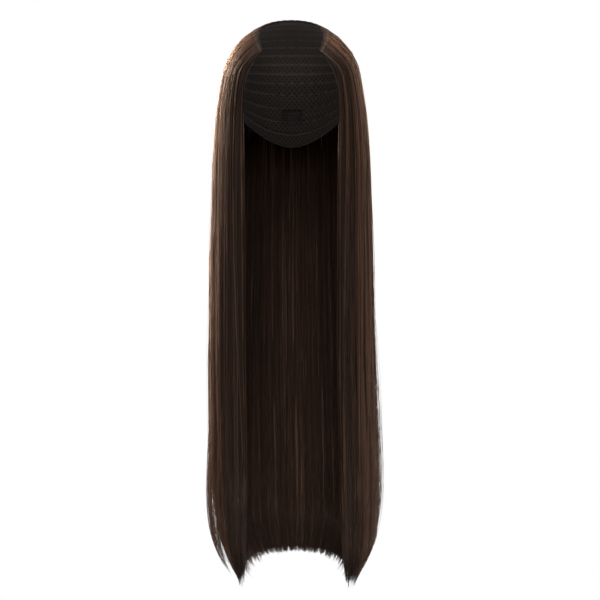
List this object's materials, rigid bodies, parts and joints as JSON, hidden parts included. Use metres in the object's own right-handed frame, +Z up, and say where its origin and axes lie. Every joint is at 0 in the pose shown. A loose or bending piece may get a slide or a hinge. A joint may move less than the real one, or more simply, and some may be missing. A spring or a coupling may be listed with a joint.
{
  "type": "half wig",
  "caption": "Half wig with long straight dark hair falling from a bound stretch cap that is open over the parting, with inner combs.",
  "frame": {"origin": "crown of the head, on the cap's inner face just behind the opening over the parting", "axes": "+Z up, the wearer looks along -Y, +X is the wearer's left"},
  "size_m": [0.2032, 0.1861, 0.6558],
  "materials": {
    "hair_fibre": "long straight wig fibre, dark brown with a soft silky sheen",
    "cap_net": "black-brown stretch net, matt",
    "binding_tape": "rolled dark stretch tape, matt",
    "comb_plastic": "dark satin plastic"
  },
  "bodies": {
    "root": {"cap": "cap_net", "edge_binding": "binding_tape", "comb_left": "comb_plastic", "comb_right": "comb_plastic", "comb_nape": "comb_plastic", "front_lock_left": "hair_fibre", "front_lock_right": "hair_fibre", "side_fall_left": "hair_fibre", "side_fall_right": "hair_fibre", "back_fall": "hair_fibre"}
  },
  "joints": []
}
